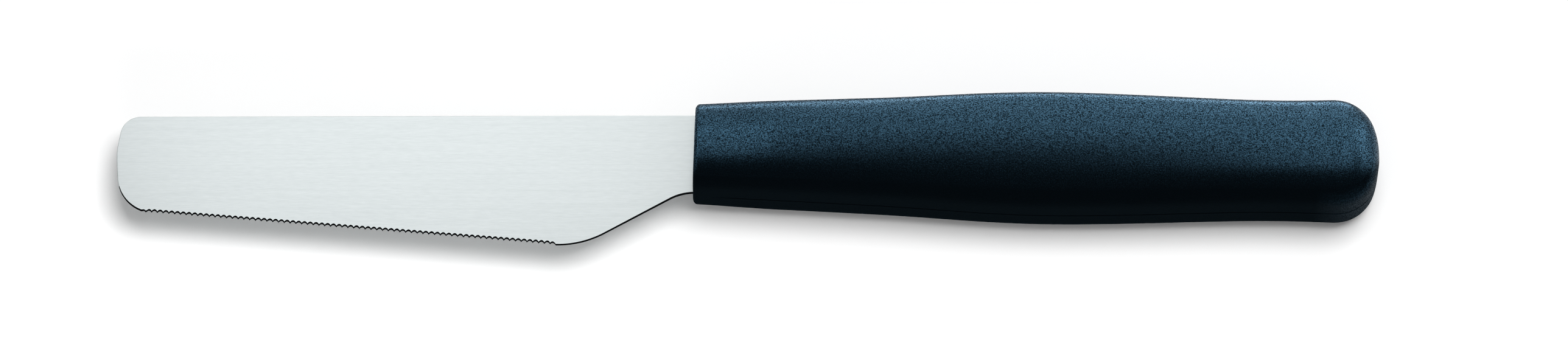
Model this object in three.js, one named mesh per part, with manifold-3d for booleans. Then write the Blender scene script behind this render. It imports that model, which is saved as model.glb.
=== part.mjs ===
// A serrated utility knife: a stamped steel blade whose tang is moulded into a polymer handle.
// Millimetres, +Z up. The knife lies on the side of its handle, with its tip towards -X and its spine towards +Y.
import * as THREE from 'three';
import { mergeVertices } from 'three/addons/utils/BufferGeometryUtils.js';
import loadManifold from 'manifold-3d';

const wasm = await loadManifold();
wasm.setup();

// Blade outline. Lengths run from the handle's front, and heights from the handle's axis there.
const BLADE_LENGTH = 110;
const SPINE_HEIGHT = 7.7;
const SPINE_FALL_TO_TIP = 0.25;
const TIP_HEIGHT = 18.95;
const TIP_SPINE_SETBACK = 1.35;
const TIP_EDGE_SETBACK = 0.8;
const TIP_BEND_BELOW_SPINE = 7.2;
const TIP_BEND_RADIUS = 15;
const TIP_SPINE_RADIUS = 3.9;
const TIP_EDGE_RADIUS = 7.4;
const HEEL_HEIGHT = 26.6;
const HEEL_SETBACK = 21.9;
const HEEL_RADIUS = 18;
const CHOIL_SETBACK = 2.45;
const CHOIL_RADIUS = 9.5;
const NECK_DROP = 7.95;

// Blade section: the sheet stays whole at the tang, and is ground thinner from the spine towards the edge.
const SHEET_THICKNESS = 1.4;
const SPINE_THICKNESS = 1.3;
const EDGE_THICKNESS = 0.7;
const GRIND_RUN_IN = 3;

// Serration: round flutes ground into the reverse side at a low angle, so they meet the shown face in scallops.
const SCALLOP_PITCH = 1.1;
const SCALLOP_DEPTH = 0.4;
const FLUTE_ANGLE_DEG = 20;
const TIP_TOOTH_LEAD = 2.4;
const HEEL_TOOTH_LEAD = 1.2;

// Tang: the end of the blade inside the handle, with holes that the polymer flows through.
const NECK_LENGTH = 9;
const NECK_CORNER_RADIUS = 1;
const TANG_HEIGHT = 10.5;
const TANG_END_HEIGHT = 8.5;
const TANG_LENGTH = 84;
const TANG_SHOULDER_RADIUS = 1.5;
const TANG_END_RADIUS = 3;
const ANCHOR_HOLE_DIAMETER = 5;
const ANCHOR_HOLE_COUNT = 3;
const FIRST_ANCHOR_HOLE = 24;
const LAST_ANCHOR_HOLE_SETBACK = 12;
const TANG_CLEARANCE = 0.2;

// Handle outline, as seen on its side. Places run from its front along its axis, which droops from the blade's.
const HANDLE_LENGTH = 130.2;
const AXIS_DROOP_DEG = 0.7;
const FRONT_LEAN_DEG = 1.2;
const FRONT_EDGE_RADIUS = 0.9;
const FRONT_HEIGHT = 17.2;
const SHOULDER_HEIGHT = 20.2;
const SHOULDER_PLACE = 35;
const SWELL_HEIGHT = 23.4;
const SWELL_PLACE = 67;
const WAIST_HEIGHT = 21.1;
const WAIST_PLACE = 106;
const BUTT_HEIGHT = 21.4;
const BUTT_CORNER_RADIUS = 8;
const BUTT_END_RADIUS = 16.2;
const BUTT_LEAN_DEG = 1.3;

// Handle section: two flat sides, blended into firm round flanks. Higher powers are squarer.
const HANDLE_THICKNESS = 17.6;
const FRONT_THICKNESS = 15.6;
const FLARE_LENGTH = 16;
const SIDE_FLAT_WIDTH = 6;
const CROWN_POWER = 2.4;
const FLANK_POWER = 5.5;
const BUTT_ROUNDING = 8;

// Parting line: the shallow groove round the handle where the two halves of its mould met.
const PARTING_WIDTH = 0.3;
const PARTING_DEPTH = 0.2;

// How finely curves are divided, and how far a cutter reaches past what it cuts.
const ARC_DIVISIONS = 8;
const SCALLOP_DIVISIONS = 4;
const OUTLINE_DIVISIONS = 4;
const QUARTER_STEPS = 8;
const FRONT_EDGE_STEPS = 4;
const CUTTER_MARGIN = 2;

const QUARTER_TURN = Math.PI / 2;
const HALF_TURN = Math.PI;

function steel() {
	return new THREE.MeshStandardMaterial({ color: 0xd8e1e2, metalness: 1, roughness: 0.32 });
}

function polymer() {
	return new THREE.MeshStandardMaterial({ color: 0x1c2830, metalness: 0, roughness: 0.55 });
}

// Booleans work on closed meshes that share their vertices.
function toSolid(geometry) {
	const bare = geometry.clone();
	bare.deleteAttribute('normal');
	bare.deleteAttribute('uv');
	const merged = mergeVertices(bare);
	const vertProperties = new Float32Array(merged.attributes.position.array);
	const triVerts = new Uint32Array(merged.index.array);
	return new wasm.Manifold(new wasm.Mesh({ numProp: 3, vertProperties, triVerts }));
}

function toGeometry(solid) {
	const { vertProperties, triVerts } = solid.getMesh();
	const geometry = new THREE.BufferGeometry();
	geometry.setAttribute('position', new THREE.BufferAttribute(vertProperties, 3));
	geometry.setIndex(new THREE.BufferAttribute(triVerts, 1));
	geometry.computeVertexNormals();
	return geometry;
}

// The fillet at each corner of a closed outline: how far it reaches along the two sides, and its half angle.
function filletsOf(corners) {
	const count = corners.length;
	const fillets = corners.map((corner, index) => {
		const toBefore = corners[(index + count - 1) % count].place.clone().sub(corner.place);
		const toAfter = corners[(index + 1) % count].place.clone().sub(corner.place);
		const side = toAfter.length();
		toBefore.normalize();
		toAfter.normalize();
		const halfAngle = Math.acos(toBefore.dot(toAfter)) / 2;
		return { toBefore, toAfter, side, halfAngle, reach: corner.radius / Math.tan(halfAngle) };
	});
	// Two fillets on one side never outgrow it.
	const room = fillets.map(({ side, reach }, index) => side / (reach + fillets[(index + 1) % count].reach));
	return fillets.map((fillet, index) => {
		const share = Math.min(1, room[index], room[(index + count - 1) % count]);
		return { ...fillet, reach: fillet.reach * share };
	});
}

function corner(x, y, radius = 0) {
	return { place: new THREE.Vector2(x, y), radius };
}

// A closed shape through the corners, each rounded to its own radius.
function roundedShape(corners) {
	const shape = new THREE.Shape();
	const drawTo = ({ x, y }, index) => (index === 0 ? shape.moveTo(x, y) : shape.lineTo(x, y));
	filletsOf(corners).forEach(({ toBefore, toAfter, halfAngle, reach }, index) => {
		const { place } = corners[index];
		if (reach === 0) {
			drawTo(place, index);
			return;
		}
		const inward = toBefore.clone().add(toAfter).setLength(reach / Math.cos(halfAngle));
		const centre = place.clone().add(inward);
		const from = toBefore.clone().multiplyScalar(reach).sub(inward);
		const to = toAfter.clone().multiplyScalar(reach).sub(inward);
		const clockwise = toBefore.cross(toAfter) > 0;
		drawTo(from.clone().add(centre), index);
		shape.absarc(centre.x, centre.y, from.length(), from.angle(), to.angle(), clockwise);
	});
	shape.closePath();
	return shape;
}

// A flat plate of the shape, centred on the mid-plane.
function plate(shape, thickness) {
	const options = { depth: thickness, bevelEnabled: false, curveSegments: ARC_DIVISIONS };
	const geometry = new THREE.ExtrudeGeometry(shape, options);
	geometry.translate(0, 0, -thickness / 2);
	return geometry;
}

// Blade

const tipSpine = SPINE_HEIGHT - SPINE_FALL_TO_TIP;
const tipEdgeCorner = corner(TIP_EDGE_SETBACK - BLADE_LENGTH, tipSpine - TIP_HEIGHT, TIP_EDGE_RADIUS);
const heelCorner = corner(-HEEL_SETBACK, SPINE_HEIGHT - HEEL_HEIGHT, HEEL_RADIUS);

// The ground part of the blade, which ends just inside the handle.
function bladeCorners() {
	return [
		corner(GRIND_RUN_IN, SPINE_HEIGHT),
		corner(TIP_SPINE_SETBACK - BLADE_LENGTH, tipSpine, TIP_SPINE_RADIUS),
		corner(-BLADE_LENGTH, tipSpine - TIP_BEND_BELOW_SPINE, TIP_BEND_RADIUS),
		tipEdgeCorner,
		heelCorner,
		corner(-CHOIL_SETBACK, -NECK_DROP, CHOIL_RADIUS),
		corner(GRIND_RUN_IN, -NECK_DROP),
	];
}

function thicknessAt(height) {
	const thinning = (SPINE_THICKNESS - EDGE_THICKNESS) / HEEL_HEIGHT;
	return SPINE_THICKNESS - thinning * (SPINE_HEIGHT - height);
}

// Both faces lean evenly towards the edge.
function groundPlate() {
	const geometry = plate(roundedShape(bladeCorners()), SPINE_THICKNESS);
	const position = geometry.attributes.position;
	for (let i = 0; i < position.count; i += 1) {
		const share = thicknessAt(position.getY(i)) / SPINE_THICKNESS;
		position.setZ(i, position.getZ(i) * share);
	}
	return toSolid(geometry);
}

// The straight edge on the shown face, between the first tooth and the last.
function toothLine() {
	const corners = bladeCorners();
	const fillets = filletsOf(corners);
	const tip = fillets[corners.indexOf(tipEdgeCorner)];
	const heel = fillets[corners.indexOf(heelCorner)];
	const onFace = (distance) => {
		const { x, y } = tip.toAfter.clone().multiplyScalar(distance).add(tipEdgeCorner.place);
		return new THREE.Vector3(x, y, thicknessAt(y) / 2);
	};
	const first = onFace(tip.reach - TIP_TOOTH_LEAD);
	const last = onFace(tip.side - heel.reach + HEEL_TOOTH_LEAD);
	return { first, last };
}

// One cutter for every flute: a row of round ridges, drawn out along the flutes' axis.
function fluteCutter() {
	const { first, last } = toothLine();
	const along = last.clone().sub(first);
	const length = along.length();
	const count = Math.max(1, Math.round(length / SCALLOP_PITCH));
	const pitch = length / count;
	const angle = THREE.MathUtils.degToRad(FLUTE_ANGLE_DEG);
	const ridge = SCALLOP_DEPTH * Math.sin(angle);

	const row = new THREE.Shape();
	row.moveTo(0, CUTTER_MARGIN);
	row.lineTo(0, 0);
	for (let tooth = 0; tooth < count; tooth += 1) {
		const start = tooth * pitch;
		row.quadraticCurveTo(start + pitch / 2, -2 * ridge, start + pitch, 0);
	}
	row.lineTo(length, CUTTER_MARGIN);
	row.closePath();

	const depth = SPINE_THICKNESS / Math.sin(angle) + 2 * CUTTER_MARGIN;
	const options = { depth, bevelEnabled: false, curveSegments: SCALLOP_DIVISIONS };
	const geometry = new THREE.ExtrudeGeometry(row, options);
	geometry.translate(0, 0, -CUTTER_MARGIN);

	const edge = along.normalize();
	const outward = edge.clone().cross(new THREE.Vector3(0, 0, 1)).normalize();
	const up = outward.clone().cross(edge);
	const away = outward.clone().multiplyScalar(Math.sin(angle)).addScaledVector(up, -Math.cos(angle));
	const flute = outward.clone().multiplyScalar(-Math.cos(angle)).addScaledVector(up, -Math.sin(angle));
	geometry.applyMatrix4(new THREE.Matrix4().makeBasis(edge, away, flute).setPosition(first));
	return toSolid(geometry);
}

// The neck and tang. grow makes the room that the handle leaves round them.
function tangShape(front, grow = 0) {
	const top = SPINE_HEIGHT + grow;
	const bottom = -NECK_DROP - grow;
	const shoulder = NECK_LENGTH + grow;
	const half = TANG_HEIGHT / 2 + grow;
	const endHalf = TANG_END_HEIGHT / 2 + grow;
	const end = TANG_LENGTH + grow;
	const shape = roundedShape([
		corner(front, top),
		corner(front, bottom),
		corner(shoulder, bottom, NECK_CORNER_RADIUS + grow),
		corner(shoulder, -half, TANG_SHOULDER_RADIUS - grow),
		corner(end, -endHalf, TANG_END_RADIUS + grow),
		corner(end, endHalf, TANG_END_RADIUS + grow),
		corner(shoulder, half, TANG_SHOULDER_RADIUS - grow),
		corner(shoulder, top, NECK_CORNER_RADIUS + grow),
	]);
	const lastHole = TANG_LENGTH - LAST_ANCHOR_HOLE_SETBACK;
	for (let hole = 0; hole < ANCHOR_HOLE_COUNT; hole += 1) {
		const path = new THREE.Path();
		const share = hole / Math.max(1, ANCHOR_HOLE_COUNT - 1);
		const place = THREE.MathUtils.lerp(FIRST_ANCHOR_HOLE, lastHole, share);
		path.absarc(place, 0, ANCHOR_HOLE_DIAMETER / 2 - grow, 0, 2 * HALF_TURN, true);
		shape.holes.push(path);
	}
	return shape;
}

function makeBlade() {
	const tang = toSolid(plate(tangShape(GRIND_RUN_IN / 2), SHEET_THICKNESS));
	const solid = groundPlate().subtract(fluteCutter()).add(tang);
	const mesh = new THREE.Mesh(toGeometry(solid), steel());
	mesh.name = 'blade';
	return mesh;
}

// Handle

// One side of the handle's outline, from behind its front edge to the middle of its butt.
function handleSide(inset = 0) {
	const cornerRadius = BUTT_CORNER_RADIUS - inset;
	const endRadius = BUTT_END_RADIUS - inset;
	const cornerHeight = BUTT_HEIGHT / 2 - BUTT_CORNER_RADIUS;
	const endCentre = HANDLE_LENGTH - BUTT_END_RADIUS;
	const cornerPlace = endCentre + Math.sqrt((BUTT_END_RADIUS - BUTT_CORNER_RADIUS) ** 2 - cornerHeight ** 2);
	const meeting = Math.atan2(cornerHeight, cornerPlace - endCentre);

	const side = new THREE.Path();
	side.moveTo(FRONT_EDGE_RADIUS, FRONT_HEIGHT / 2 - inset);
	side.splineThru([
		new THREE.Vector2(SHOULDER_PLACE, SHOULDER_HEIGHT / 2 - inset),
		new THREE.Vector2(SWELL_PLACE, SWELL_HEIGHT / 2 - inset),
		new THREE.Vector2(WAIST_PLACE, WAIST_HEIGHT / 2 - inset),
		new THREE.Vector2(cornerPlace, BUTT_HEIGHT / 2 - inset),
	]);
	side.absarc(cornerPlace, cornerHeight, cornerRadius, QUARTER_TURN, meeting, true);
	side.absarc(endCentre, 0, endRadius, meeting, 0, true);
	return side.getPoints(OUTLINE_DIVISIONS);
}

// How far the outline leans along the handle for each millimetre above its axis.
function leanAt(place) {
	const front = Math.tan(THREE.MathUtils.degToRad(FRONT_LEAN_DEG));
	const butt = Math.tan(THREE.MathUtils.degToRad(BUTT_LEAN_DEG));
	const towardsFront = 1 - THREE.MathUtils.smoothstep(place, 0, FLARE_LENGTH);
	const towardsButt = THREE.MathUtils.smoothstep(place, HANDLE_LENGTH - BUTT_END_RADIUS, HANDLE_LENGTH);
	return front * towardsFront - butt * towardsButt;
}

function halfThicknessAt(place) {
	const flare = THREE.MathUtils.smoothstep(place, 0, FLARE_LENGTH);
	const half = THREE.MathUtils.lerp(FRONT_THICKNESS, HANDLE_THICKNESS, flare) / 2;
	const fromEnd = Math.min(1, Math.max(0, (HANDLE_LENGTH - place) / BUTT_ROUNDING));
	return half * (1 - (1 - fromEnd) ** CROWN_POWER) ** (1 / FLANK_POWER);
}

// One ring of the handle's skin: up one flank, across the flat side and down the other flank.
function ring(place, halfHeight, halfThickness) {
	const flat = (SIDE_FLAT_WIDTH / 2) * Math.min(1, halfHeight / (FRONT_HEIGHT / 2));
	const lean = leanAt(place);
	const points = [];
	for (const flank of [1, -1]) {
		for (let step = -QUARTER_STEPS; step <= QUARTER_STEPS; step += 1) {
			const turn = (flank * step * QUARTER_TURN) / QUARTER_STEPS;
			const reach = Math.max(0, Math.cos(turn)) ** (2 / CROWN_POWER);
			const rise = Math.abs(Math.sin(turn)) ** (2 / FLANK_POWER);
			const y = flank * (flat + (halfHeight - flat) * reach);
			points.push(place + lean * y, y, Math.sign(turn) * halfThickness * rise);
		}
	}
	return points;
}

function handleRings() {
	const rings = [];
	for (let step = 0; step < FRONT_EDGE_STEPS; step += 1) {
		const turn = (step * QUARTER_TURN) / FRONT_EDGE_STEPS;
		const place = FRONT_EDGE_RADIUS * (1 - Math.cos(turn));
		const inset = FRONT_EDGE_RADIUS * (1 - Math.sin(turn));
		rings.push(ring(place, FRONT_HEIGHT / 2 - inset, halfThicknessAt(place) - inset));
	}
	const outline = handleSide();
	outline.pop();
	outline.forEach(({ x, y }) => rings.push(ring(x, y, halfThicknessAt(x))));
	return rings;
}

// The handle's skin: rings joined from front to butt, closed by the front face and the middle of the butt.
function handleSkin() {
	const rings = handleRings();
	const around = rings[0].length / 3;
	const position = [...rings.flat(), 0, 0, 0, HANDLE_LENGTH, 0, 0];
	const frontCentre = rings.length * around;
	const buttCentre = frontCentre + 1;
	const lastRing = (rings.length - 1) * around;
	const index = [];
	for (let j = 0; j < around; j += 1) {
		const next = (j + 1) % around;
		index.push(frontCentre, next, j);
		for (let start = 0; start < lastRing; start += around) {
			const ahead = start + around;
			index.push(start + j, start + next, ahead + next);
			index.push(start + j, ahead + next, ahead + j);
		}
		index.push(lastRing + j, lastRing + next, buttCentre);
	}
	const geometry = new THREE.BufferGeometry();
	geometry.setAttribute('position', new THREE.Float32BufferAttribute(position, 3));
	geometry.setIndex(index);
	return geometry;
}

// A thin plate with a hole a little smaller than the handle's outline.
function partingCutter() {
	const side = handleSide(PARTING_DEPTH);
	const otherSide = side.slice(0, -1).reverse().map(({ x, y }) => new THREE.Vector2(x, -y));
	const hole = [...side, ...otherSide].map(({ x, y }) => new THREE.Vector2(x + leanAt(x) * y, y));
	const frontHalf = side[0].y;
	const widest = Math.max(...side.map(({ y }) => y)) + CUTTER_MARGIN;
	const start = -2 * CUTTER_MARGIN;
	const end = HANDLE_LENGTH + CUTTER_MARGIN;
	const shape = roundedShape([
		corner(start, widest),
		corner(start, -widest),
		corner(end, -widest),
		corner(end, widest),
	]);
	shape.holes.push(new THREE.Path([
		new THREE.Vector2(-CUTTER_MARGIN, frontHalf),
		...hole,
		new THREE.Vector2(-CUTTER_MARGIN, -frontHalf),
	]));
	return plate(shape, PARTING_WIDTH);
}

function makeHandle() {
	const droop = -THREE.MathUtils.degToRad(AXIS_DROOP_DEG);
	const skin = toSolid(handleSkin().rotateZ(droop));
	const parting = toSolid(partingCutter().rotateZ(droop));
	const tangRoom = tangShape(-CUTTER_MARGIN, TANG_CLEARANCE);
	const pocket = toSolid(plate(tangRoom, SHEET_THICKNESS + 2 * TANG_CLEARANCE));
	const solid = skin.subtract(parting).subtract(pocket);
	const mesh = new THREE.Mesh(toGeometry(solid), polymer());
	mesh.name = 'handle';
	return mesh;
}

// The knife stands with the middle of its underside at the origin.
const knife = new THREE.Group();
knife.add(makeBlade(), makeHandle());
const bounds = new THREE.Box3().setFromObject(knife);
const centre = bounds.getCenter(new THREE.Vector3());
knife.position.set(-centre.x, -centre.y, -bounds.min.z);

export default knife;
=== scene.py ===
# %% [markdown]
# # A serrated utility knife
# The knife has two pieces: a steel blade with a scalloped edge, and a polymer handle that is moulded round
# the blade's tang. It lies on the flat side of its handle. Both pieces could keep their plain solids, but a
# fine mesh shows the teeth, the ground edge and the mould's parting line. So each piece is made again here,
# in the same place and at the same size, and it replaces the plain one.

# %% Load the frame
import math
from collections import namedtuple

import bmesh
import bpy
import numpy as np
from mathutils import Matrix, Vector


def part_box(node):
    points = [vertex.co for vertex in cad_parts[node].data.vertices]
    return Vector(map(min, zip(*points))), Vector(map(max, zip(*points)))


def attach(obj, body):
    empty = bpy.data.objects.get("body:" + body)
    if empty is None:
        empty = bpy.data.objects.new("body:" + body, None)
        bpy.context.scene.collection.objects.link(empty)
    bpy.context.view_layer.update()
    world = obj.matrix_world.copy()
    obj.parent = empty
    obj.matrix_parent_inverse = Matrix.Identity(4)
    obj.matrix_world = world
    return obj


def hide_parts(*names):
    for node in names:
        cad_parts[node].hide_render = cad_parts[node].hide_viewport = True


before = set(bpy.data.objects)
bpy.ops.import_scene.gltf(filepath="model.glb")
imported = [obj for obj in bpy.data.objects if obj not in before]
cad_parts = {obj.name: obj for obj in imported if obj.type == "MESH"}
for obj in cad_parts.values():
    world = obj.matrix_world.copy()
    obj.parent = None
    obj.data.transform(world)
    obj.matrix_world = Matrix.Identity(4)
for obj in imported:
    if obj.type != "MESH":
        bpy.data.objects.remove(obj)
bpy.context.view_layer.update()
MM = 0.001
blade_low, blade_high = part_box("blade")
handle_low, handle_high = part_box("handle")
print("blade", [round(side / MM, 1) for side in blade_high - blade_low], "mm")
print("handle", [round(side / MM, 1) for side in handle_high - handle_low], "mm")

# %% [markdown]
# ## Node trees written as sums
# Materials and Geometry Nodes are both trees of small nodes. Linking them one by one is long to write and
# hard to read. Here one class stands for a wire between nodes, and its operators add the Math nodes, so
# that a formula reads as a formula. Every other kind of node comes from the one method of the tree.

# %% A wire and a tree


class Wire:
    """What comes out of a node. Sums on wires add Math nodes to their tree."""

    def __init__(self, tree, socket):
        self.tree = tree
        self.socket = socket

    def sum(self, operation, *values):
        inputs = dict(enumerate(values))
        return self.tree.node("ShaderNodeMath", {"operation": operation}, inputs)

    def __add__(self, other):
        return self.sum("ADD", self, other)

    def __radd__(self, other):
        return self.sum("ADD", other, self)

    def __sub__(self, other):
        return self.sum("SUBTRACT", self, other)

    def __rsub__(self, other):
        return self.sum("SUBTRACT", other, self)

    def __mul__(self, other):
        return self.sum("MULTIPLY", self, other)

    def __rmul__(self, other):
        return self.sum("MULTIPLY", other, self)

    def __truediv__(self, other):
        return self.sum("DIVIDE", self, other)

    def __rtruediv__(self, other):
        return self.sum("DIVIDE", other, self)

    def __pow__(self, other):
        return self.sum("POWER", self, other)

    def at_most(self, other):
        return self.sum("MINIMUM", self, other)

    def at_least(self, other):
        return self.sum("MAXIMUM", self, other)

    def fraction(self):
        return self.sum("FRACT", self)


class Tree:
    """A node tree that is written down as formulas."""

    def __init__(self, nodes, links):
        self.nodes = nodes
        self.links = links

    def node(self, kind, settings=None, inputs=None, output=0):
        node = self.nodes.new(kind)
        for name, value in (settings or {}).items():
            setattr(node, name, value)
        for name, value in (inputs or {}).items():
            if isinstance(value, Wire):
                self.links.new(value.socket, node.inputs[name])
            else:
                node.inputs[name].default_value = value
        return Wire(self, node.outputs[output]) if node.outputs else None


print("formulas can now be written as node trees")

# %% [markdown]
# ## Shared helpers for materials
# Each finish here is a Principled shader whose colour, roughness and bump change over the surface. All of
# them read Object coordinates in metres, so a grain of half a millimetre is half a millimetre on every
# piece. The Mix node has sockets for several kinds of value, so those for colours are named here by their
# numbers.

# %% Start a material
NOISE_DETAIL = 2.0
NOISE_ROUGHNESS = 0.5
NOISE_MIDDLE = 0.5
MIX_SHARE, MIX_FIRST, MIX_SECOND, MIX_RESULT = 0, 6, 7, 2


def new_material(name):
    material = bpy.data.materials.new(name)
    material.use_nodes = True
    material.node_tree.nodes.clear()
    return material, Tree(material.node_tree.nodes, material.node_tree.links)


def noise(tree, scale):
    """Noise from 0 to 1 on Object coordinates. scale is in cells per metre along X, Y and Z."""
    place = tree.node("ShaderNodeTexCoord", output="Object")
    stretched = tree.node("ShaderNodeMapping", inputs={"Vector": place, "Scale": scale})
    inputs = {"Vector": stretched, "Scale": 1.0, "Detail": NOISE_DETAIL, "Roughness": NOISE_ROUGHNESS}
    return tree.node("ShaderNodeTexNoise", inputs=inputs)


def colour_between(tree, share, first, second):
    inputs = {MIX_SHARE: share, MIX_FIRST: (*first, 1), MIX_SECOND: (*second, 1)}
    return tree.node("ShaderNodeMix", {"data_type": "RGBA"}, inputs, MIX_RESULT)


def principled(tree, inputs):
    return tree.node("ShaderNodeBsdfPrincipled", inputs=inputs)


def show_surface(tree, shader):
    tree.node("ShaderNodeOutputMaterial", inputs={"Surface": shader})


print("material helpers are ready")

# %% [markdown]
# ## Satin steel
# The blade is brushed lengthwise with a fine belt, so it shows hair-thin lines along its length and a soft,
# even shine. An image of scratches would do, but noise that is stretched along the blade gives lines of the
# right width that never repeat. Two sizes of line are mixed: single hairs, and the broader streaks of the
# belt.

# %% Make the steel
HAIR_LINES = (500, 4400, 4400)
BELT_STREAKS = (50, 1700, 1700)
STEEL_DULL = (0.465, 0.505, 0.51)
STEEL_BRIGHT = (0.645, 0.685, 0.69)
HAIR_SHARE = 0.6
LINE_STRENGTH = 0.06
LINE_DEPTH = 0.00004
STEEL_ROUGHNESS = 0.3
STEEL_ROUGHNESS_SWING = 0.1


def make_satin_steel():
    material, tree = new_material("satin_steel")
    lines = HAIR_SHARE * noise(tree, HAIR_LINES) + (1 - HAIR_SHARE) * noise(tree, BELT_STREAKS)
    relief = {"Strength": LINE_STRENGTH, "Distance": LINE_DEPTH, "Height": lines}
    show_surface(tree, principled(tree, {
        "Base Color": colour_between(tree, lines, STEEL_DULL, STEEL_BRIGHT),
        "Metallic": 1.0,
        "Roughness": STEEL_ROUGHNESS + STEEL_ROUGHNESS_SWING * (lines - NOISE_MIDDLE),
        "Normal": tree.node("ShaderNodeBump", inputs=relief),
    }))
    return material


satin_steel = make_satin_steel()
print("made", satin_steel.name)

# %% [markdown]
# ## Painted shade on the ground edge
# The blunt heel, the corner below the tip and the narrow facets of the teeth are not brushed. They come
# from the press and the grinding wheel. Their near-black colour is painted shade, not a colour the steel
# has: a very dark, slightly mottled metal that still shines a little where light meets it.

# %% Make the painted shade edge
EDGE_MOTTLE = (2500, 2500, 2500)
# Near-black colours of the edge faces: painted shade, not a colour the steel has.
PAINTED_SHADE_DARK = (0.008, 0.009, 0.01)
PAINTED_SHADE_PALE = (0.03, 0.032, 0.035)
EDGE_GRAZING = (0.05, 0.05, 0.05, 1)
EDGE_LEAST_ROUGHNESS = 0.35
EDGE_ROUGHNESS_RANGE = 0.15


def make_painted_shade_edge():
    material, tree = new_material("dark_edge")
    mottle = noise(tree, EDGE_MOTTLE)
    show_surface(tree, principled(tree, {
        "Base Color": colour_between(tree, mottle, PAINTED_SHADE_DARK, PAINTED_SHADE_PALE),
        "Metallic": 1.0,
        "Roughness": EDGE_LEAST_ROUGHNESS + EDGE_ROUGHNESS_RANGE * mottle,
        "Specular Tint": EDGE_GRAZING,
    }))
    return material


# The near-black edge metal carries painted shade.
dark_edge = make_painted_shade_edge()
print("made", dark_edge.name)

# %% [markdown]
# ## Grained polymer
# The handle is a blue-black polymer from a mould with an eroded wall, which leaves a fine grain: some
# grains shine and some stay dull. The broad sides, the back and the butt are a satin with a blue tint, and
# their shine grows towards the butt. Only the flank under the fingers is matt, so it stays nearly black.
# One shader can't be dull and shiny side by side, so two are mixed, grain by grain. The handle's mesh
# carries two attributes for the mix: sweep runs from 0 on the parting line to 1 on the broad sides, and
# along runs from the front to the butt.

# %% Make the polymer
GRAIN = (4000, 4000, 4000)
FINE_GRAIN = (8500, 8500, 8500)
COARSE_SHARE = 0.65
GRAIN_STRENGTH = 1.0
GRAIN_DEPTH = 0.00003
SPECKLE = (4300, 4300, 4300)
SPECKLE_CONTRAST = 3.6
SPECKLE_LOW = 0.08
FRONT_GLOSS = 0.71
POLYMER_DARK = (0.0006, 0.0012, 0.0017)
POLYMER_PALE = (0.0014, 0.003, 0.0044)
POLYMER_GLOSS = (0.26, 0.64, 1.0, 1.0)
POLYMER_ROUGHNESS = 0.26
POLYMER_ROUGHNESS_SWING = 0.3
SATIN_IOR = 1.82
SATIN_LEVEL = 1.0
MATT_LEVEL = 0.0
MATT_SHEEN = 0.018
MATT_SHEEN_TINT = (0.5, 0.8, 1.0, 1.0)
MATT_UP_TO = 0.65
SATIN_FROM = 0.83
MATT_BELOW = 0.0
SATIN_ABOVE = 0.004
BUTT_FROM = 0.86
BUTT_RUN = 0.45


def satin_share(tree):
    """How satin the polymer is, grain by grain: on the broad sides, the back and the butt."""
    sweep = tree.node("ShaderNodeAttribute", {"attribute_name": "sweep"}, output="Fac")
    along = tree.node("ShaderNodeAttribute", {"attribute_name": "along"}, output="Fac")
    place = tree.node("ShaderNodeTexCoord", output="Object")
    height = tree.node("ShaderNodeSeparateXYZ", inputs={0: place}, output="Y")
    broad_side = (sweep - MATT_UP_TO) / (SATIN_FROM - MATT_UP_TO)
    back = (height - MATT_BELOW) / (SATIN_ABOVE - MATT_BELOW)
    butt = (along - BUTT_FROM) / BUTT_RUN
    where = broad_side.at_least(back).at_least(butt).at_least(0.0).at_most(1.0)
    contrast = (noise(tree, SPECKLE) - NOISE_MIDDLE) * SPECKLE_CONTRAST + NOISE_MIDDLE
    speckle = contrast.at_least(SPECKLE_LOW).at_most(1.0)
    return where * speckle * (FRONT_GLOSS + (1 - FRONT_GLOSS) * along)


def make_grained_polymer():
    material, tree = new_material("grained_polymer")
    grain = COARSE_SHARE * noise(tree, GRAIN) + (1 - COARSE_SHARE) * noise(tree, FINE_GRAIN)
    relief = {"Strength": GRAIN_STRENGTH, "Distance": GRAIN_DEPTH, "Height": grain}
    shared = {
        "Base Color": colour_between(tree, grain, POLYMER_DARK, POLYMER_PALE),
        "Roughness": POLYMER_ROUGHNESS + POLYMER_ROUGHNESS_SWING * (grain - NOISE_MIDDLE),
        "Specular Tint": POLYMER_GLOSS,
        "Normal": tree.node("ShaderNodeBump", inputs=relief),
    }
    matt = principled(tree, {
        **shared,
        "Specular IOR Level": MATT_LEVEL,
        "Sheen Weight": MATT_SHEEN,
        "Sheen Tint": MATT_SHEEN_TINT,
    })
    satin = principled(tree, {**shared, "IOR": SATIN_IOR, "Specular IOR Level": SATIN_LEVEL})
    show_surface(tree, tree.node("ShaderNodeMixShader", inputs={0: satin_share(tree), 1: matt, 2: satin}))
    return material


grained_polymer = make_grained_polymer()
print("made", grained_polymer.name)

# %% [markdown]
# ## Outlines from corners
# A die maker draws an outline as straight sides with rounded corners. The same few corners serve here: each
# one has a place and a radius, and the arc between its two sides is worked out. Every point also gets the
# direction that faces out of the shape, because the blade's edges are built along it. An arc keeps its
# centre, its radius, the angle where it starts, how far it turns, and its reach, which is how far from the
# corner it meets a side.

# %% Round the corners
ARC_STEP = math.radians(3)
Arc = namedtuple("Arc", "centre radius start turn reach")


def arc_at(corners, index):
    """The arc that rounds one corner of an outline that runs anticlockwise."""
    x, y, radius = corners[index]
    place = Vector((x, y))
    before = (Vector(corners[index - 1][:2]) - place).normalized()
    after = (Vector(corners[(index + 1) % len(corners)][:2]) - place).normalized()
    half_angle = before.angle(after) / 2
    reach = radius / math.tan(half_angle)
    centre = place + (before + after).normalized() * (radius / math.sin(half_angle))
    start = place + before * reach - centre
    bulges = 1 if after.cross(before) > 0 else -1
    turn = bulges * (math.pi - 2 * half_angle)
    return Arc(centre, radius, math.atan2(start.y, start.x), turn, reach)


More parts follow.
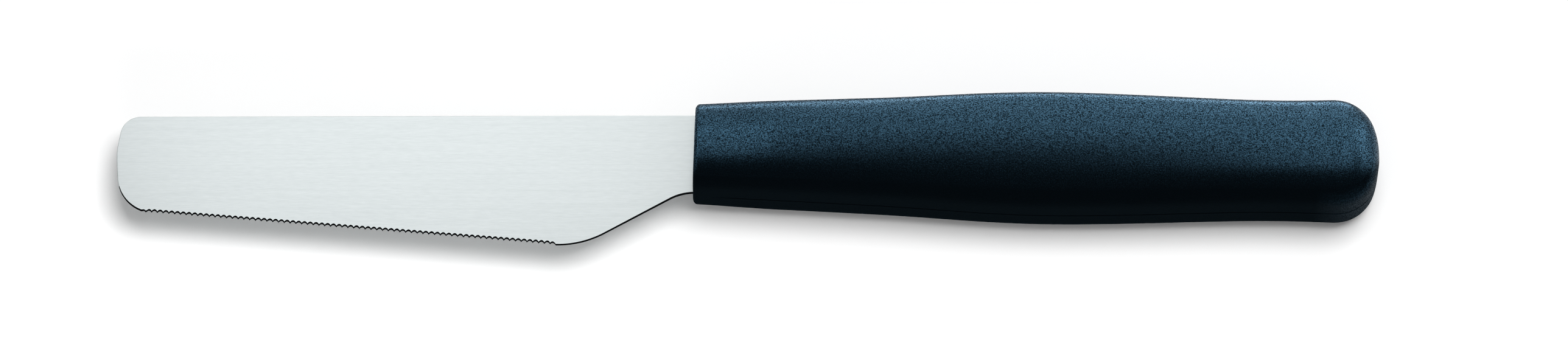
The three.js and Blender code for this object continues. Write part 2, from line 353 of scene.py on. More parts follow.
def arc_point(arc, turned):
    """A point on an arc and its outward direction, after so much of its turn."""
    angle = arc.start + turned
    spoke = Vector((math.cos(angle), math.sin(angle)))
    outward = spoke if arc.turn > 0 else -spoke
    return arc.centre + spoke * arc.radius, outward


def arc_points(arc, first=0.0, last=1.0):
    """Points along a share of an arc, ends included."""
    count = max(2, round(abs(arc.turn) * (last - first) / ARC_STEP))
    return [arc_point(arc, arc.turn * share) for share in np.linspace(first, last, count + 1)]


def rounded_outline(corners):
    return [point for index in range(len(corners)) for point in arc_points(arc_at(corners, index))]


print("outlines can be drawn from corners")

# %% [markdown]
# ## The blade's outline
# The blade ends in a soft corner above and a wider one below, and its edge drops towards the heel, so that
# the knuckles clear the board. Behind the heel it steps up to the neck, which goes into the handle and
# narrows to the tang. All of that is one outline of eleven corners, in millimetres from the place where the
# blade enters the handle: lengths run towards the butt, heights towards the spine, and the middle of the
# steel is level 0.

# %% Draw the blade
BLADE_LENGTH = 110
SPINE_HEIGHT = 7.7
TIP_EDGE = (-109.2, -11.5, 7.4)
HEEL = (-21.9, -18.9, 18)
CHOIL = (-2.45, -7.95, 9.5)
TIP_SPINE = (-108.65, 7.45, 3.9)
TIP_BEND = (-BLADE_LENGTH, 0.25, 15)
NECK_LENGTH = 9
NECK_DROP = 7.95
TANG_LENGTH = 84
NECK_RADIUS = 1
TANG_HALF = 5.25
TANG_ROOT_RADIUS = 1.5
TANG_END_HALF = 4.25
TANG_END_RADIUS = 3


def tang_corners(grow=0.0):
    """The neck and tang from below to above. grow leaves room round them."""
    return [
        (NECK_LENGTH + grow, -NECK_DROP - grow, NECK_RADIUS + grow),
        (NECK_LENGTH + grow, -TANG_HALF - grow, TANG_ROOT_RADIUS - grow),
        (TANG_LENGTH + grow, -TANG_END_HALF - grow, TANG_END_RADIUS + grow),
        (TANG_LENGTH + grow, TANG_END_HALF + grow, TANG_END_RADIUS + grow),
        (NECK_LENGTH + grow, TANG_HALF + grow, TANG_ROOT_RADIUS - grow),
        (NECK_LENGTH + grow, SPINE_HEIGHT + grow, NECK_RADIUS + grow),
    ]


blade_corners = [TIP_EDGE, HEEL, CHOIL, *tang_corners(), TIP_SPINE, TIP_BEND]
print("the blade's outline has", len(blade_corners), "corners")

# %% [markdown]
# ## Where the teeth run
# The serration starts on the curve below the tip and ends on the curve of the heel. Along it the outline
# needs close points, a fixed number for each tooth, so that every scallop comes out alike. Each point keeps
# its run along the row of teeth, its fall, which is how far the outline has curved away from the straight
# edge, and how ground it is.

# %% Lay out the edge
TOOTH_PITCH = 1.1
TOOTH_STEPS = 10
TIP_TOOTH_LEAD = 2.4
HEEL_TOOTH_LEAD = 1.2
EdgePoint = namedtuple("EdgePoint", "place outward run fall ground", defaults=(0.0, 0.0, 0.0))


def smooth(value, low, high):
    """A soft step from 0 at low to 1 at high."""
    share = min(1.0, max(0.0, (value - low) / (high - low)))
    return share * share * (3 - 2 * share)


def edge_stretch(tip_arc, heel_arc):
    """The points of the serrated stretch, and the pitch of its teeth."""
    start, end = Vector(TIP_EDGE[:2]), Vector(HEEL[:2])
    along = (end - start).normalized()
    outward = Vector((along.y, -along.x))
    straight_from = tip_arc.reach
    straight_to = (end - start).length - heel_arc.reach
    first = straight_from - TIP_TOOTH_LEAD
    last = straight_to + HEEL_TOOTH_LEAD
    teeth = round((last - first) / TOOTH_PITCH)
    stretch = []
    for reached in np.linspace(first, last, teeth * TOOTH_STEPS + 1):
        place, facing, fall = start + along * reached, outward, 0.0
        if reached < straight_from:
            turned = math.asin((straight_from - reached) / tip_arc.radius)
            place, facing = arc_point(tip_arc, tip_arc.turn - turned)
            fall = tip_arc.radius * (1 - math.cos(turned))
        elif reached > straight_to:
            turned = math.asin((reached - straight_to) / heel_arc.radius)
            place, facing = arc_point(heel_arc, turned)
            fall = heel_arc.radius * (1 - math.cos(turned))
        ground = smooth(reached, first, straight_from) * smooth(-reached, -last, -straight_to)
        stretch.append(EdgePoint(place, facing, reached - first, fall, ground))
    return stretch, (last - first) / teeth


tip_arc = arc_at(blade_corners, 0)
heel_arc = arc_at(blade_corners, 1)
teeth_row, tooth_pitch = edge_stretch(tip_arc, heel_arc)
print(round(teeth_row[-1].run / tooth_pitch), "teeth of", round(tooth_pitch, 3), "mm")

# %% [markdown]
# ## From outline to steel
# The blade is thickest at the spine and ground thinner towards the edge. Four rows of points follow the
# outline: the rim of the shown face, the upper and lower side of the edge, and the rim of the reverse face.
# On a blunt stretch the rims are small chamfers. Along the teeth the shown side has a narrow facet, and the
# reverse side a long low grind. A solid with bevels would give the chamfers alone, so the rows are placed
# directly.

# %% Place the four rows
SHEET_THICKNESS = 1.4
SPINE_THICKNESS = 1.3
EDGE_THICKNESS = 0.7
HEEL_HEIGHT = 26.6
THINNING = (SPINE_THICKNESS - EDGE_THICKNESS) / HEEL_HEIGHT
SEAT = 0.5
SEAT_END = 3.0
CHAMFER = 0.12
FACET_THICKNESS = 0.15
FACET_ANGLE = math.radians(25)
LAND = 0.03
GRIND_ANGLE = math.radians(20)


def thickness_at(x, y):
    ground = SPINE_THICKNESS - THINNING * (SPINE_HEIGHT - y)
    return ground + (SHEET_THICKNESS - ground) * smooth(x, SEAT, SEAT_END)


def blunt_points(arc, first=0.0, last=1.0):
    return [EdgePoint(*point) for point in arc_points(arc, first, last)]


def whole_outline():
    """Every point of the blade's outline, from the arc below the tip round to the bend above it."""
    tip_share = 1 - math.asin(TIP_TOOTH_LEAD / tip_arc.radius) / tip_arc.turn
    heel_share = math.asin(HEEL_TOOTH_LEAD / heel_arc.radius) / heel_arc.turn
    points = blunt_points(tip_arc, 0, tip_share)[:-1]
    points += teeth_row
    points += blunt_points(heel_arc, heel_share, 1)[1:]
    for index in range(2, len(blade_corners)):
        points += blunt_points(arc_at(blade_corners, index))
        if blade_corners[index] == CHOIL:
            points.append(EdgePoint(Vector((SEAT, -NECK_DROP)), Vector((0, -1))))
        if blade_corners[index] == tang_corners()[-1]:
            points.append(EdgePoint(Vector((SEAT, SPINE_HEIGHT)), Vector((0, 1))))
    return points


def four_rows(place, ground):
    """Offset inwards and level of the four rows at one point of the outline."""
    thickness = thickness_at(*place)
    top, bottom = thickness / 2, -thickness / 2
    below = FACET_THICKNESS + LAND

    def between(blunt, sharp):
        return blunt + (sharp - blunt) * ground

    return [
        (between(CHAMFER, FACET_THICKNESS / math.tan(FACET_ANGLE)), top),
        (0.0, top - between(CHAMFER, FACET_THICKNESS)),
        (0.0, between(bottom + CHAMFER, top - below)),
        (between(CHAMFER, (thickness - below) / math.tan(GRIND_ANGLE)), bottom),
    ]


outline = whole_outline()
print("the outline has", len(outline), "points")

# %% [markdown]
# ## The knife's place in the frame
# The frame has its own origin, under the middle of the whole knife. The outline's farthest points lie on
# the sides of the blade's box, so the box shows where the knife's own origin is.

# %% Find the knife's origin
knife_origin = Vector((
    blade_low.x - min(point.place.x for point in outline) * MM,
    blade_high.y - max(point.place.y for point in outline) * MM,
    (handle_low.z + handle_high.z) / 2,
))
TO_FRAME = Matrix.Translation(knife_origin) @ Matrix.Scale(MM, 4)
print("the handle's front is at", [round(place / MM, 3) for place in knife_origin], "mm")

# %% [markdown]
# ## The blade's mesh
# Quads join the four rows, and one large face closes each side of the blade. The tang has three holes,
# which the polymer flows through, so its faces are filled round them. Attributes carry what the next step
# needs: the run along the teeth, the fall, which points are toothed, the direction into the steel, and
# which faces get the painted shade. Those are the faces of the edge on the shown side that look down,
# from the tip to the handle.

# %% Build the blunt blade
HOLE_PLACES = (24, 48, 72)
HOLE_RADIUS = 2.5
HOLE_SIDES = 32
# The edge faces that take the painted shade: those in the shown side's first two bands that look down.
PAINTED_SHADE_FACING = -0.25
PAINTED_SHADE_BANDS = (0, 1)


def hole_rings(mesh, radius, level):
    """Three rings of points round the tang's holes, at one level."""
    turns = [2 * math.pi * side / HOLE_SIDES for side in range(HOLE_SIDES)]
    spokes = [(radius * math.cos(turn), radius * math.sin(turn)) for turn in turns]
    return [[mesh.verts.new((place + x, y, level)) for x, y in spokes] for place in HOLE_PLACES]


def close_loop(mesh, ring):
    """The edges round a ring, made where they are missing."""
    pairs = zip(ring, ring[1:] + ring[:1])
    return [mesh.edges.get(pair) or mesh.edges.new(pair) for pair in pairs]


def wall_between(mesh, ring, other):
    """Quads from one ring to another of as many points."""
    corners = zip(ring, ring[1:] + ring[:1], other[1:] + other[:1], other)
    return [mesh.faces.new(quad) for quad in corners]


def fill_round_holes(mesh, ring, holes):
    edges = [edge for loop in [ring, *holes] for edge in close_loop(mesh, loop)]
    bmesh.ops.triangle_fill(mesh, use_beauty=True, edges=edges)


def place_rows(mesh):
    """The four rows of points along the outline, with the attributes that the teeth need."""
    run = mesh.verts.layers.float.new("run")
    fall = mesh.verts.layers.float.new("fall")
    toothed = mesh.verts.layers.float.new("toothed")
    inward = mesh.verts.layers.float_vector.new("inward")
    rows = [[], [], [], []]
    for point in outline:
        place, outward = point.place, point.outward
        for row, (offset, level) in zip(rows, four_rows(place, point.ground)):
            spot = place - outward * offset
            slope = math.copysign(THINNING / 2, level) if place.x < SEAT else 0.0
            vertex = mesh.verts.new((spot.x, spot.y, level - slope * outward.y * offset))
            vertex[run], vertex[fall] = point.run, point.fall
            vertex[toothed] = float(point.ground > 0)
            vertex[inward] = (-outward.x, -outward.y, -slope * outward.y)
            row.append(vertex)
    return rows


def blunt_blade():
    mesh = bmesh.new()
    dark = mesh.faces.layers.bool.new("dark")
    rows = place_rows(mesh)
    for band, (upper, lower) in enumerate(zip(rows, rows[1:])):
        for quad, point in zip(wall_between(mesh, upper, lower), outline):
            # Edge faces that look down, between the tip and the handle, get painted shade.
            looks_down = point.outward.y < PAINTED_SHADE_FACING and quad.calc_center_median().x < 0
            quad[dark] = band in PAINTED_SHADE_BANDS and looks_down
    first, second = [i for i, point in enumerate(outline) if point.place.x == SEAT]
    holes = [hole_rings(mesh, HOLE_RADIUS, side * SHEET_THICKNESS / 2) for side in (1, -1)]
    for row, rings in ((rows[0], holes[0]), (rows[3], holes[1])):
        mesh.faces.new(row[second:] + row[: first + 1])
        fill_round_holes(mesh, row[first : second + 1], rings)
    for upper, lower in zip(*holes):
        wall_between(mesh, upper, lower)
    bmesh.ops.recalc_face_normals(mesh, faces=mesh.faces)
    return mesh


def add_to_scene(name, data):
    piece = bpy.data.objects.new(name, data)
    bpy.context.scene.collection.objects.link(piece)
    return piece


def to_object(mesh, name):
    data = bpy.data.meshes.new(name)
    mesh.to_mesh(data)
    mesh.free()
    return add_to_scene(name, data)


blade = to_object(blunt_blade(), "knife_blade")
print("the blunt blade has", len(blade.data.polygons), "faces")

# %% [markdown]
# ## Geometry Nodes helpers
# A Geometry Nodes tree takes a mesh and some sizes, and gives back a new mesh. These helpers make a tree
# with named inputs, and later run it on a piece and keep the result as a plain mesh. An input is set by its
# identifier, because its name is only a label.

# %% Make and run trees
MOST_SMOOTH_CORNERS = 4


def new_geometry_tree(name, inputs):
    """An empty tree. inputs is a list of each input's name and kind of socket."""
    group = bpy.data.node_groups.new(name, "GeometryNodeTree")
    group.interface.new_socket("Geometry", in_out="INPUT", socket_type="NodeSocketGeometry")
    group.interface.new_socket("Geometry", in_out="OUTPUT", socket_type="NodeSocketGeometry")
    for label, kind in inputs:
        group.interface.new_socket(label, in_out="INPUT", socket_type=kind)
    return group, Tree(group.nodes, group.links)


def given(tree, label):
    return tree.node("NodeGroupInput", output=label)


def attribute(tree, name, kind="FLOAT"):
    return tree.node("GeometryNodeInputNamedAttribute", {"data_type": kind}, {"Name": name})


def keep_result(piece):
    """Turns what the modifiers make into the piece's own mesh."""
    bpy.context.view_layer.update()
    depsgraph = bpy.context.evaluated_depsgraph_get()
    result = bpy.data.meshes.new_from_object(piece.evaluated_get(depsgraph))
    piece.modifiers.clear()
    piece.data = result
    result.name = piece.name


def run_tree(piece, group, values):
    modifier = piece.modifiers.new(group.name, "NODES")
    modifier.node_group = group
    for item in group.interface.items_tree:
        if item.in_out == "INPUT" and item.name in values:
            modifier[item.identifier] = values[item.name]
    keep_result(piece)


def shade_by_angle(piece, degrees):
    """Smooth shading that breaks at sharp edges. A face with many corners is a flat side and stays flat."""
    piece.data.shade_smooth()
    piece.data.set_sharp_from_angle(angle=math.radians(degrees))
    for face in piece.data.polygons:
        face.use_smooth = len(face.vertices) <= MOST_SMOOTH_CORNERS


print("trees can be made and run")

# %% [markdown]
# ## The teeth
# A profiled wheel grinds the teeth: round hollows side by side, with a point where two of them meet. That
# is one rule repeated along the edge, which is what Geometry Nodes are for. Each point of the edge moves
# into the steel by the depth of its hollow there, which a parabola from point to point gives. Where the
# outline already curves away, only what is left of the hollow is cut.

# %% Cut the teeth
TOOTH_DEPTH = 0.4
BLADE_SHARP_ANGLE = 30


def make_tooth_tree():
    group, tree = new_geometry_tree("scalloped_edge", [
        ("Pitch", "NodeSocketFloat"),
        ("Depth", "NodeSocketFloat"),
        ("Steel", "NodeSocketMaterial"),
        ("Dark edge", "NodeSocketMaterial"),
    ])
    phase = (attribute(tree, "run") / given(tree, "Pitch")).fraction()
    hollow = 4 * phase * (1 - phase) * given(tree, "Depth")
    cut = (hollow - attribute(tree, "fall")).at_least(0.0) * attribute(tree, "toothed")
    inward = attribute(tree, "inward", "FLOAT_VECTOR")
    offset = tree.node("ShaderNodeVectorMath", {"operation": "SCALE"}, {0: inward, "Scale": cut})
    blunt, steel = given(tree, "Geometry"), given(tree, "Steel")
    moved = tree.node("GeometryNodeSetPosition", inputs={"Geometry": blunt, "Offset": offset})
    whole = tree.node("GeometryNodeRealizeInstances", inputs={"Geometry": moved})
    bright = tree.node("GeometryNodeSetMaterial", inputs={"Geometry": whole, "Material": steel})
    # The edge faces that look down take the near-black metal: painted shade.
    done = tree.node("GeometryNodeSetMaterial", inputs={
        "Geometry": bright,
        "Selection": attribute(tree, "dark", "BOOLEAN"),
        "Material": given(tree, "Dark edge"),
    })
    tree.node("NodeGroupOutput", inputs={"Geometry": done})
    return group


run_tree(blade, make_tooth_tree(), {
    "Pitch": tooth_pitch,
    "Depth": TOOTH_DEPTH,
    "Steel": satin_steel,
    "Dark edge": dark_edge,
})
blade.data.transform(TO_FRAME)
shade_by_angle(blade, BLADE_SHARP_ANGLE)
print("the blade has", len(blade.data.polygons), "faces")

# %% [markdown]
# ## The handle's side outline
# Seen on its side, the handle swells in the middle, narrows before its end and finishes in a round D. One
# half of that outline is enough. A Bezier curve holds it with a handful of points: the handles of each
# point make the swell, and the two arcs of the butt have handles of the length that makes a Bezier round.

# %% Draw the handle's side
HANDLE_LENGTH = 130.2
FRONT_EDGE_RADIUS = 0.9
FRONT_HALF = 8.6
SIDE_POINTS = [(35, 10.1), (67, 11.7), (106, 10.55)]
BUTT_HALF = 10.7
BUTT_CORNER_RADIUS = 8
BUTT_END_RADIUS = 16.2
SIDE_RESOLUTION = 48


def swell_points(start, end):
    """Bezier points through the swell: each handle is a third of the slope between its neighbours."""
    places = [Vector(place) for place in [start, *SIDE_POINTS, end]]
    points = []
    for index, place in enumerate(places):
        before = places[max(0, index - 1)]
        after = places[min(len(places) - 1, index + 1)]
        slope = (after - before) / 6
        points.append((place - slope, place, place + slope))
    return points


def round_points(centre, radius, start, end):
    """Bezier points of an arc from one angle to another."""
    reach = radius * 4 / 3 * math.tan((end - start) / 4)
    points = []
    for angle in (start, end):
        spoke = Vector((math.cos(angle), math.sin(angle)))
        handle = Vector((-spoke.y, spoke.x)) * reach
        place = centre + spoke * radius
        points.append((place - handle, place, place + handle))
    return points


def side_bezier():
    end_centre = Vector((HANDLE_LENGTH - BUTT_END_RADIUS, 0))
    corner_height = BUTT_HALF - BUTT_CORNER_RADIUS
    corner_run = math.sqrt((BUTT_END_RADIUS - BUTT_CORNER_RADIUS) ** 2 - corner_height**2)
    corner_centre = end_centre + Vector((corner_run, corner_height))
    meeting = math.atan2(corner_height, corner_run)
    front_centre = Vector((FRONT_EDGE_RADIUS, FRONT_HALF - FRONT_EDGE_RADIUS))
    front = round_points(front_centre, FRONT_EDGE_RADIUS, math.pi, math.pi / 2)
    swell = swell_points((FRONT_EDGE_RADIUS, FRONT_HALF), (corner_centre.x, BUTT_HALF))
    corner = round_points(corner_centre, BUTT_CORNER_RADIUS, math.pi / 2, meeting)
    end = round_points(end_centre, BUTT_END_RADIUS, meeting, 0)
    chains = [front, swell, corner, end]
    points = [chains[0][0]]
    for chain, following in zip(chains, chains[1:]):
        points += chain[1:-1]
        points.append((chain[-1][0], chain[-1][1], following[0][2]))
    return points + [chains[-1][-1]]


def make_side_curve():
    curve = bpy.data.curves.new("handle_side", "CURVE")
    curve.dimensions = "3D"
    curve.resolution_u = SIDE_RESOLUTION
    spline = curve.splines.new("BEZIER")
    points = side_bezier()
    spline.bezier_points.add(len(points) - 1)
    for knot, (left, place, right) in zip(spline.bezier_points, points):
        knot.handle_left = (*left, 0)
        knot.co = (*place, 0)
        knot.handle_right = (*right, 0)
    return add_to_scene("handle_side", curve)


handle_side = make_side_curve()
print("the handle's side has", len(handle_side.data.splines[0].bezier_points), "points")

# %% [markdown]
# ## The handle's net
# Before the handle has a shape, it is a net: rings of points from front to butt, and the same rows round
# every ring. A row knows its flank and its side, where it lies on the flat strip, how far it has swept over
# to that strip, how far it is lifted off the mid-plane, and how deep it lies in the parting groove. The
# tree in the next step turns that into places. Rows are close together near the groove, and the first few
# rings are kept for the rounded front edge.

# %% Make the net
FRONT_SHARE = 0.0102
FRONT_RINGS = 9
RINGS = 220
LAST_SHARE = 0.9985
SWEEP_ROWS = 26
STRIP_ROWS = 6
LIP = 0.3
GROOVE_ROWS = [(0.0, 1.0), (0.06, 1.0), (0.13, 0.15), (0.17, 0.02)]
Row = namedtuple("Row", "flank face strip sweep lift groove")


def quarter_rows(side, face):
    """Rows from the mid-plane over one flank to the edge of a flat side."""
    groove = [Row(side, face, side, 0.0, lift, depth) for lift, depth in GROOVE_ROWS]
    return groove + [Row(side, face, side, row / SWEEP_ROWS, LIP, 0.0) for row in range(SWEEP_ROWS + 1)]


def ring_rows():
    """Every row round a ring, in order. The two rows on the mid-plane belong to the shown side."""
    strip = [1 - 2 * row / STRIP_ROWS for row in range(1, STRIP_ROWS)]
    rows = []
    for face, own in ((1, 0), (-1, 1)):
        rows += quarter_rows(face, face)[own:]
        rows += [Row(face, face, face * place, 1.0, LIP, 0.0) for place in strip]
        rows += quarter_rows(-face, face)[own:][::-1]
    return rows


def handle_net():
    rows = ring_rows()
    front_shares = np.linspace(0, FRONT_SHARE, FRONT_RINGS)[:-1]
    shares = [*front_shares, *np.linspace(FRONT_SHARE, LAST_SHARE, RINGS)]
    mesh = bmesh.new()
    layers = [mesh.verts.layers.float.new(name) for name in Row._fields]
    along = mesh.verts.layers.float.new("along")
    rings = []
    for share in shares:
        ring = []
        for row in rows:
            vertex = mesh.verts.new((share, len(ring), 0))
            for layer, value in zip(layers, row):
                vertex[layer] = value
            vertex[along] = share
            ring.append(vertex)
        rings.append(ring)
    for ring, following in zip(rings, rings[1:]):
        wall_between(mesh, ring, following)
    mesh.faces.new(rings[0])
    close_butt(mesh, rings[-1], rows)
    return mesh


def close_butt(mesh, ring, rows):
    """Narrow strips across the middle of the butt, from each row to its mirror row on the other flank."""
    vertices = dict(zip(rows, ring))
    flank = [row for row in rows if row.flank == row.strip == 1]
    flank.sort(key=lambda row: row.face * (row.sweep + row.lift))
    near = [vertices[row] for row in flank]
    far = [vertices[row._replace(flank=-1, strip=-1, face=row.face if row.lift else 1)] for row in flank]
    for i in range(1, len(near) - 2):
        mesh.faces.new((near[i], near[i + 1], far[i + 1], far[i]))
    for face, inner in ((1, -2), (-1, 1)):
        strip = [vertices[row] for row in rows if row.face == face and row.sweep == 1.0]
        mesh.faces.new((near[inner], *strip[::face], far[inner]))


handle = to_object(handle_net(), "knife_handle")
print("the handle's net has", len(handle.data.vertices), "points")

# %% [markdown]
# ## The handle's shape
# The tree reads the side outline at each ring, and bends every row over a rounded section: a narrow flat in
# the middle of both sides, a slight sag beside it, and steep flanks. It also thins the front, rounds the
# front edge, closes the butt with a rounding of its own, and presses the parting groove along the
# mid-plane. A subdivided box would need many hand-placed loops for the same swell, while these few formulas
# keep every size named.

# %% Shape the handle
HANDLE_SIZES = {
    "Length": HANDLE_LENGTH,
    "Thickness": 17.6,
    "Front thickness": 15.6,
    "Flare": 16.0,
    "Flat width": 2.0,
    "Sag": 0.7,
    "Sag width": 16.0,
    "Front height": 2 * FRONT_HALF,
    "Crown": 2.4,
    "Flank": 6.5,
    "Butt rounding": 8.0,
    "Butt power": 4.5,
    "Front edge": FRONT_EDGE_RADIUS,
    "Groove depth": 0.2,
    "Groove start": 2.0,
    "Groove full": 12.0,
    "Front lean": math.tan(math.radians(1.2)),
    "Butt lean": math.tan(math.radians(1.3)),
    "Butt start": HANDLE_LENGTH - BUTT_END_RADIUS,
    "Lip": LIP,
}
DROOP = math.radians(-0.7)


def ramp(tree, value, low, high, start=0.0, end=1.0):
    """A smooth step of a value between two places."""
    inputs = {"Value": value, "From Min": low, "From Max": high, "To Min": start, "To Max": end}
    return tree.node("ShaderNodeMapRange", {"interpolation_type": "SMOOTHSTEP"}, inputs)


def side_and_groove(tree, size):
    """Place along the handle and half its height there, pressed in where the row lies in the groove."""
    curve = tree.node("GeometryNodeObjectInfo", inputs={"Object": given(tree, "Side")}, output="Geometry")
    settings = {"mode": "FACTOR", "use_all_curves": True}
    inputs = {"Curves": curve, "Factor": attribute(tree, "along")}

    def read(what, axis):
        sampled = tree.node("GeometryNodeSampleCurve", settings, inputs, what)
        return tree.node("ShaderNodeSeparateXYZ", inputs={0: sampled}, output=axis)

    place, half = read("Position", "X"), read("Position", "Y")
    run, rise = read("Tangent", "X"), read("Tangent", "Y")
    fade = ramp(tree, place, size("Groove start"), size("Groove full"))
    pressed = size("Groove depth") * attribute(tree, "groove") * fade
    return place + pressed * rise, half - pressed * run


def half_thickness(tree, size, place):
    """Half the thickness at a place: flared at the front, rounded at the butt and at the front edge."""
    flare = ramp(tree, place, 0.0, size("Flare"), size("Front thickness"), size("Thickness")) * 0.5
    from_end = ((size("Length") - place) / size("Butt rounding")).at_least(0.0).at_most(1.0)
    rounded = (1 - (1 - from_end) ** size("Crown")) ** (1 / size("Butt power"))
    near_front = (1 - place / size("Front edge")).at_least(0.0)
    inset = size("Front edge") * (1 - (1 - near_front * near_front) ** 0.5)
    return flare * rounded - inset


def make_handle_tree():
    inputs = [("Side", "NodeSocketObject"), ("Polymer", "NodeSocketMaterial")]
    inputs += [(label, "NodeSocketFloat") for label in HANDLE_SIZES]
    group, tree = new_geometry_tree("handle_loft", inputs)

    def size(label):
        return given(tree, label)

    place, half = side_and_groove(tree, size)
    sweep = attribute(tree, "sweep")
    spread = sweep ** size("Flank") + (1 - sweep) ** size("Crown")
    rise = sweep / spread ** (1 / size("Flank"))
    reach = (1 - sweep) / spread ** (1 / size("Crown"))
    flat = size("Flat width") * 0.5 * (half * 2 / size("Front height")).at_most(1.0)
    y = attribute(tree, "strip") * flat + attribute(tree, "flank") * (half - flat) * reach
    sag = size("Sag") * ((y * 2 / size("Sag width")) ** 2).at_most(1.0)
    level = attribute(tree, "lift") + (half_thickness(tree, size, place) - size("Lip") - sag) * rise
    front_lean = size("Front lean") * ramp(tree, place, 0.0, size("Flare"), 1.0, 0.0)
    butt_lean = size("Butt lean") * ramp(tree, place, size("Butt start"), size("Length"))
    x = place + (front_lean - butt_lean) * y
    spot = tree.node("ShaderNodeCombineXYZ", inputs={"X": x, "Y": y, "Z": attribute(tree, "face") * level})
    shaped = tree.node("GeometryNodeSetPosition", inputs={"Geometry": size("Geometry"), "Position": spot})
    whole = tree.node("GeometryNodeRealizeInstances", inputs={"Geometry": shaped})
    done = tree.node("GeometryNodeSetMaterial", inputs={"Geometry": whole, "Material": size("Polymer")})
    tree.node("NodeGroupOutput", inputs={"Geometry": done})
    return group


def face_outwards(piece):
    mesh = bmesh.new()
    mesh.from_mesh(piece.data)
    bmesh.ops.recalc_face_normals(mesh, faces=mesh.faces)
    mesh.to_mesh(piece.data)
    mesh.free()


run_tree(handle, make_handle_tree(), {**HANDLE_SIZES, "Side": handle_side, "Polymer": grained_polymer})
bpy.data.objects.remove(handle_side)
handle.data.transform(Matrix.Rotation(DROOP, 4, "Z"))
face_outwards(handle)
print("the handle has", len(handle.data.polygons), "faces")

# %% [markdown]
# ## The tang's pocket
# The handle is moulded round the tang, so the polymer has a pocket of the tang's shape, and fills the
# tang's three holes. A box cut would leave the blade loose. The pocket is the tang's own outline, grown by
# a hair's breadth.

# %% Cut the pocket
POCKET_ROOM = 0.05
POCKET_LEAD = 2.0
POCKET_RADIUS = 0.5
HANDLE_SHARP_ANGLE = 40


def tang_pocket():
    lower = (-POCKET_LEAD, -NECK_DROP - POCKET_ROOM, POCKET_RADIUS)
    upper = (-POCKET_LEAD, SPINE_HEIGHT + POCKET_ROOM, POCKET_RADIUS)
    places = [point for point, _ in rounded_outline([lower, *tang_corners(POCKET_ROOM), upper])]
    level = SHEET_THICKNESS / 2 + POCKET_ROOM
    mesh = bmesh.new()
    rings, holes = [], []
    for side in (level, -level):
        rings.append([mesh.verts.new((*place, side)) for place in places])
        holes.append(hole_rings(mesh, HOLE_RADIUS - POCKET_ROOM, side))
    for upper_ring, lower_ring in [rings, *zip(*holes)]:
        wall_between(mesh, upper_ring, lower_ring)
    for ring, loops in zip(rings, holes):
        fill_round_holes(mesh, ring, loops)
    bmesh.ops.recalc_face_normals(mesh, faces=mesh.faces)
    return mesh


def cut_away(piece, cutter):
    modifier = piece.modifiers.new("cut", "BOOLEAN")
    modifier.operation = "DIFFERENCE"
    modifier.solver = "EXACT"
    modifier.object = cutter
    keep_result(piece)
    bpy.data.objects.remove(cutter)


cut_away(handle, to_object(tang_pocket(), "pocket"))
handle.data.transform(TO_FRAME)
shade_by_angle(handle, HANDLE_SHARP_ANGLE)
print("the handle with its pocket has", len(handle.data.polygons), "faces")

# %% [markdown]
# ## Into the frame
# Each finished mesh takes the place of its plain solid and rides on the one body.

# %% Hand the pieces over
for piece, node, slot in ((blade, "blade", "blade_steel"), (handle, "handle", "handle_polymer")):
    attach(piece, "root")
    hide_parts(node)
    print(piece.name, "replaces", node)

# %% [markdown]
# ## A pale floor
# The knife lies on a plain white sheet of paper, which is wide enough to fill the picture from every side.
# A matt white is all it needs: the lamps bring it up to paper white, and it keeps the knife's soft shadow.

# %% Lay the floor
FLOOR_RADIUS = 12.0
FLOOR_SIDES = 96
FLOOR_WHITE = (0.95, 0.95, 0.95, 1)


def make_floor_material():
    material, tree = new_material("white_paper")
    show_surface(tree, tree.node("ShaderNodeBsdfDiffuse", inputs={"Color": FLOOR_WHITE}))
    return material


floor_mesh = bmesh.new()
bmesh.ops.create_circle(floor_mesh, cap_ends=True, segments=FLOOR_SIDES, radius=FLOOR_RADIUS)
floor = to_object(floor_mesh, "floor")
floor.data.materials.append(make_floor_material())
print("the floor is", 2 * FLOOR_RADIUS, "m wide")

# %% [markdown]
# ## Studio light
# Four lamps give the plain light. One high above draws the shadow close under the knife, and a wide one
# softens it. Two narrow ones low on the near side lighten the floor below the blade's edge and the handle's
# belly, where the shadow would get too deep. Nothing mirrors these four. The world adds only a trace. What
# the steel and the polymer mirror are boxes and cards that give no plain light. Two wide boxes stand on the
# far side: one leans over the knife, one is low behind it. Small cards close by even out the blade, and
# light the handle's broad side, its far rim and its butt. Two dim cards, on the near side and beyond the
# tip, keep the steel from going black when it is seen from behind. A tent of white cloth would light all
# sides alike, but then the handle would lose its dark flank.
#
# In the lists each lamp has its name, its place along the knife in millimetres, how many degrees it stands
# to the north and to the east of straight above, its distance and sides in metres, and its level.

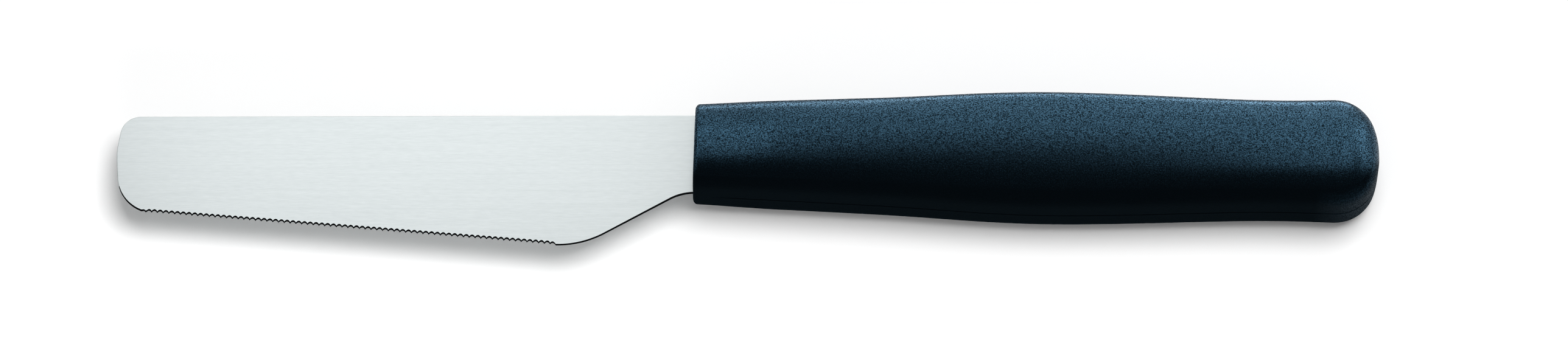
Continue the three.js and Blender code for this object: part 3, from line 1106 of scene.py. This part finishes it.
# %% Hang the lamps
LAMP_AIM = 0.009
PLAIN_LAMPS = [
    ("shadow_lamp", 0, 6, 12, 2.4, (1.44, 1.44), 7.9),
    ("wide_lamp", 0, 0, 0, 1.5, (5.0, 5.0), 0.33),
    ("edge_lamp", -78, -65, 0, 0.12, (0.11, 0.03), 4.4),
    ("belly_lamp", 75, -65, 0, 0.12, (0.12, 0.03), 2.2),
]
REFLECTED_BOXES = [
    ("blade_card", -70, 20, 0, 0.16, (0.145, 0.08), 1.07),
    ("handle_card", 140, 11, 0, 0.18, (0.07, 0.08), 1.2),
    ("rim_card", 55, 87, 0, 0.12, (0.2, 0.026), 5.0),
    ("back_card", 78, 70, 0, 0.16, (0.16, 0.09), 0.6),
    ("leaning_box", 0, 44, 0, 1.0, (2.4, 0.8), 1.3),
    ("far_box", 0, 78, 0, 1.3, (2.6, 0.6), 1.0),
    ("butt_card", 120, 36, 57, 0.6, (0.5, 0.6), 1.1),
    ("near_card", 0, -66, 0, 1.2, (3.0, 0.85), 0.55),
    ("tip_card", 0, 0, -72, 1.2, (0.55, 3.0), 0.6),
]
WORLD_COLOUR = (1, 1, 1, 1)
WORLD_LEVEL = 0.015


def hang_lamp(name, along, north, east, distance, sides, level):
    """A rectangular lamp that faces a place along the knife."""
    direction = Vector((math.tan(math.radians(east)), math.tan(math.radians(north)), 1)).normalized()
    light = bpy.data.lights.new(name, "AREA")
    light.shape = "RECTANGLE"
    light.size, light.size_y = sides
    light.energy = level * math.pi * sides[0] * sides[1]
    lamp = add_to_scene(name, light)
    lamp.location = Vector((along * MM, 0, LAMP_AIM)) + direction * distance
    lamp.rotation_euler = direction.to_track_quat("Z", "Y").to_euler()
    lamp.visible_camera = False
    return lamp


for lamp in PLAIN_LAMPS:
    hang_lamp(*lamp).visible_glossy = False
for box in REFLECTED_BOXES:
    hang_lamp(*box).visible_diffuse = False
world = bpy.data.worlds.new("studio")
world.use_nodes = True
background = world.node_tree.nodes["Background"]
background.inputs["Color"].default_value = WORLD_COLOUR
background.inputs["Strength"].default_value = WORLD_LEVEL
bpy.context.scene.world = world
print("hung", len(PLAIN_LAMPS) + len(REFLECTED_BOXES), "lamps")

# %% [markdown]
# ## The camera
# The picture is taken from the near side and from high up, with a long lens that keeps the knife's lines
# nearly parallel. The camera looks at a point a little towards the butt from the middle, so that the knife
# fills the width of the picture.

# %% Point the camera
LENS = 250
SENSOR = 36
ELEVATION = math.radians(69)
DISTANCE = 2.071
AIM = Vector((0.00692, -0.00053, 0.0088))
FARTHEST_SEEN = 50

camera_data = bpy.data.cameras.new("camera")
camera_data.lens = LENS
camera_data.sensor_width = SENSOR
camera_data.clip_end = FARTHEST_SEEN
camera = add_to_scene("camera", camera_data)
towards = Vector((0, -math.cos(ELEVATION), math.sin(ELEVATION)))
camera.location = AIM + towards * DISTANCE
camera.rotation_euler = towards.to_track_quat("Z", "Y").to_euler()
bpy.context.scene.camera = camera
bpy.context.scene.view_settings.view_transform = "Standard"
print("the camera is", DISTANCE, "m away")
